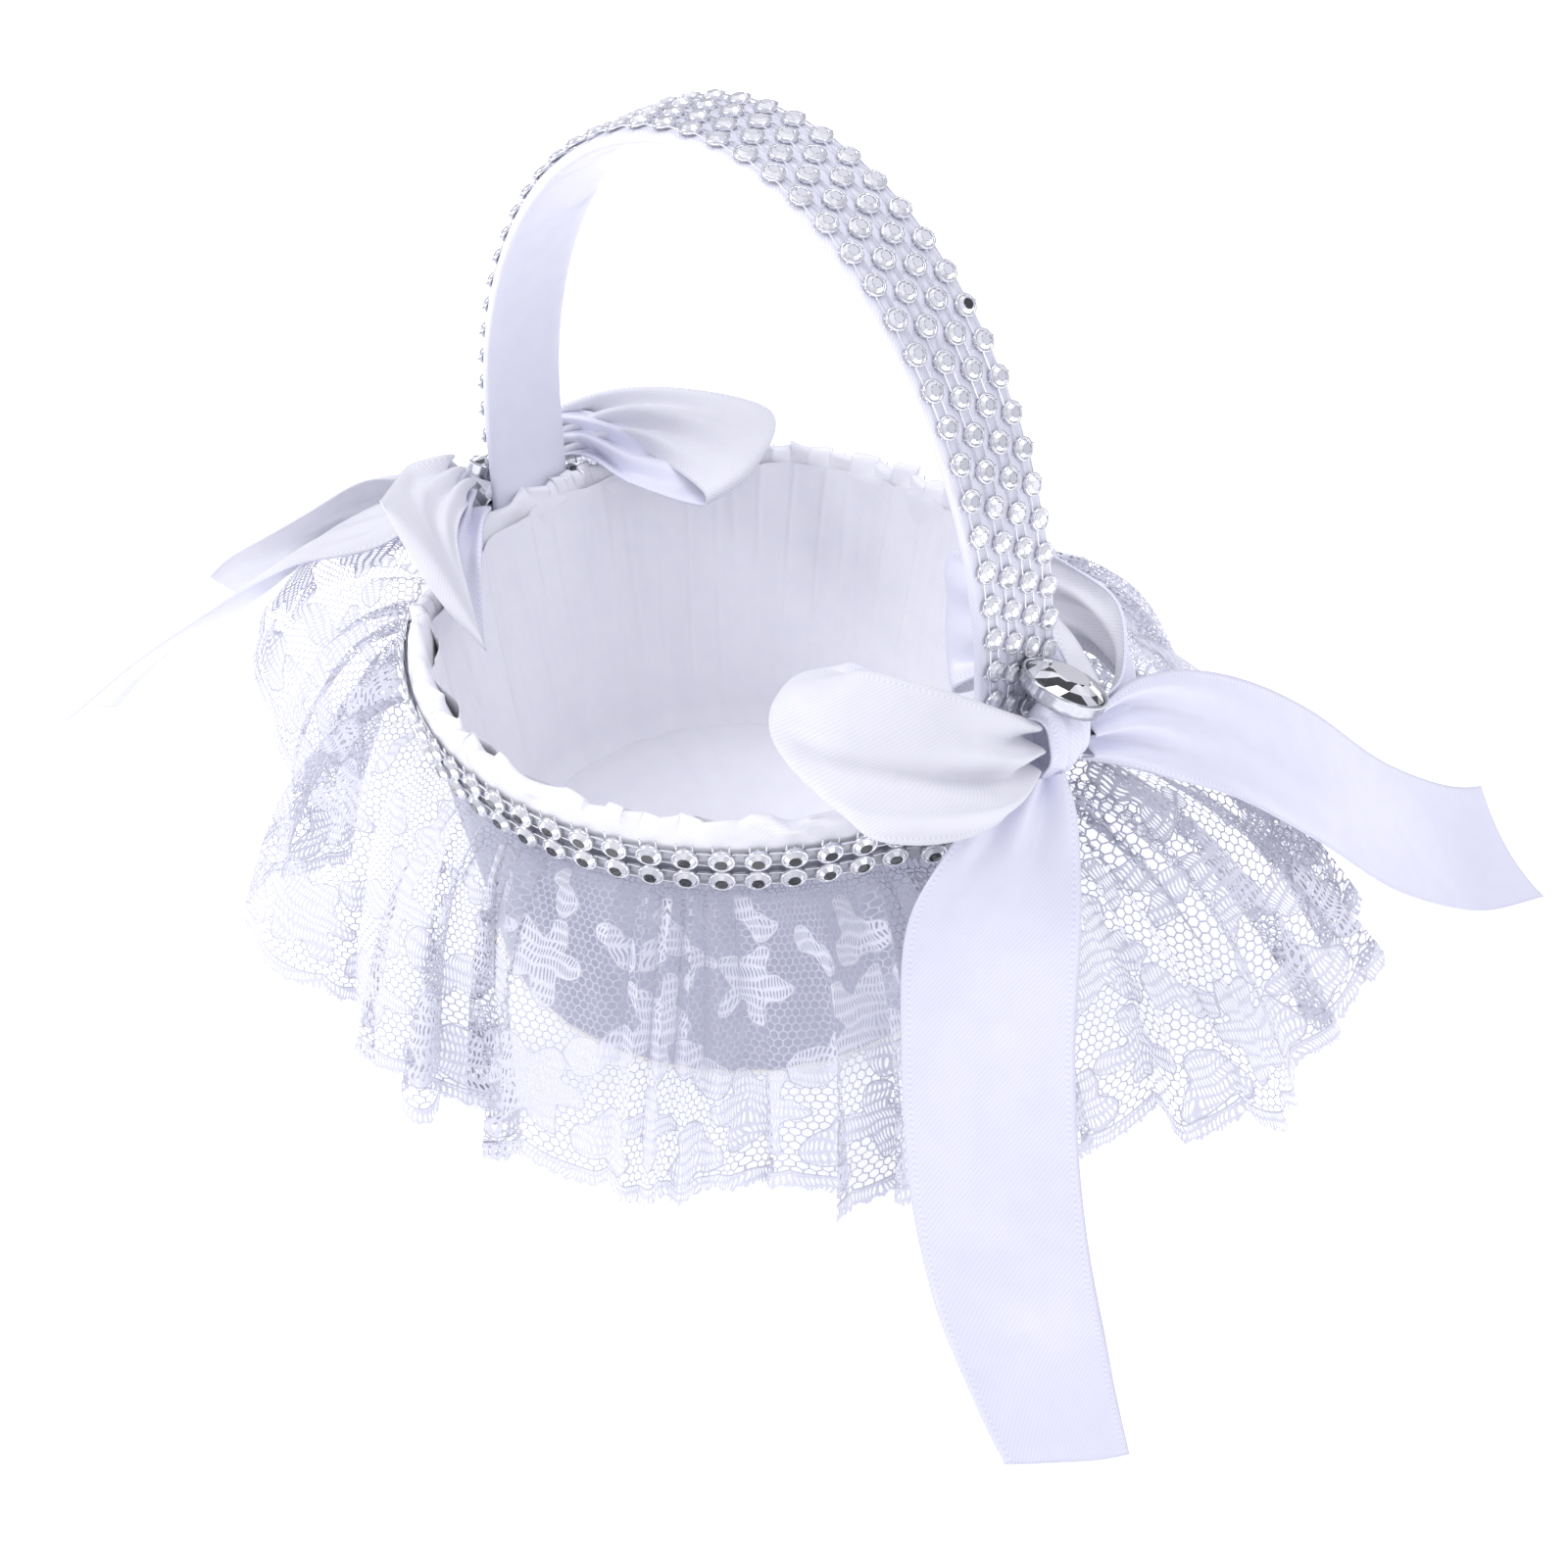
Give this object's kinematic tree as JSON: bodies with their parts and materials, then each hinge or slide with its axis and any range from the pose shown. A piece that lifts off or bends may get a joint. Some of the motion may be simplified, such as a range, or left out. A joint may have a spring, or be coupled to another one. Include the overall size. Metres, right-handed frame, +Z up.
{
  "type": "flower girl basket",
  "caption": "Small satin-lined card basket with a gathered lace flounce, a rhinestone rim band, an arched rhinestone handle and ribbon bows at its feet.",
  "frame": {"origin": "centre of the base, on the surface that the basket stands on", "axes": "+Z up, +X through the handle's foot that carries the bow with its tails in front, +Y to the back"},
  "size_m": [0.247, 0.1844, 0.1432],
  "materials": {
    "satin": "white satin, soft sheen",
    "ribbon": "white satin ribbon with a fine twill",
    "lace": "white floral lace on a hexagon net",
    "wadding": "matt polyester wadding",
    "card": "matt grey card",
    "strap": "matt white strip",
    "silver_mesh": "metallised silver plastic",
    "stone": "clear faceted acrylic, silver-backed",
    "staple": "bright wire"
  },
  "bodies": {
    "root": {"base_cover": "satin", "base_board": "card", "bowl_shell": "card", "bottom_pad": "wadding", "lining_floor": "satin", "lining_wall": "satin", "rim_ruffle": "satin", "outer_cover": "satin", "handle_core": "strap", "handle_wrap": "satin", "handle_mesh": "silver_mesh", "handle_stones": "stone", "handle_staples": "staple", "lace_flounce": "lace", "band_mesh": "silver_mesh", "band_stones_upper": "stone", "band_stones_lower": "stone", "right_bow_knot": "ribbon", "right_bow_loop_front": "ribbon", "right_bow_loop_back": "ribbon", "right_bow_tail_front": "ribbon", "right_bow_tail_back": "ribbon", "right_brooch_cup": "silver_mesh", "right_brooch_crystal": "stone", "left_bow_knot": "ribbon", "left_bow_loop_front": "ribbon", "left_bow_loop_back": "ribbon", "left_bow_tail_front": "ribbon", "left_bow_tail_back": "ribbon", "left_brooch_cup": "silver_mesh", "left_brooch_crystal": "stone"}
  },
  "joints": []
}
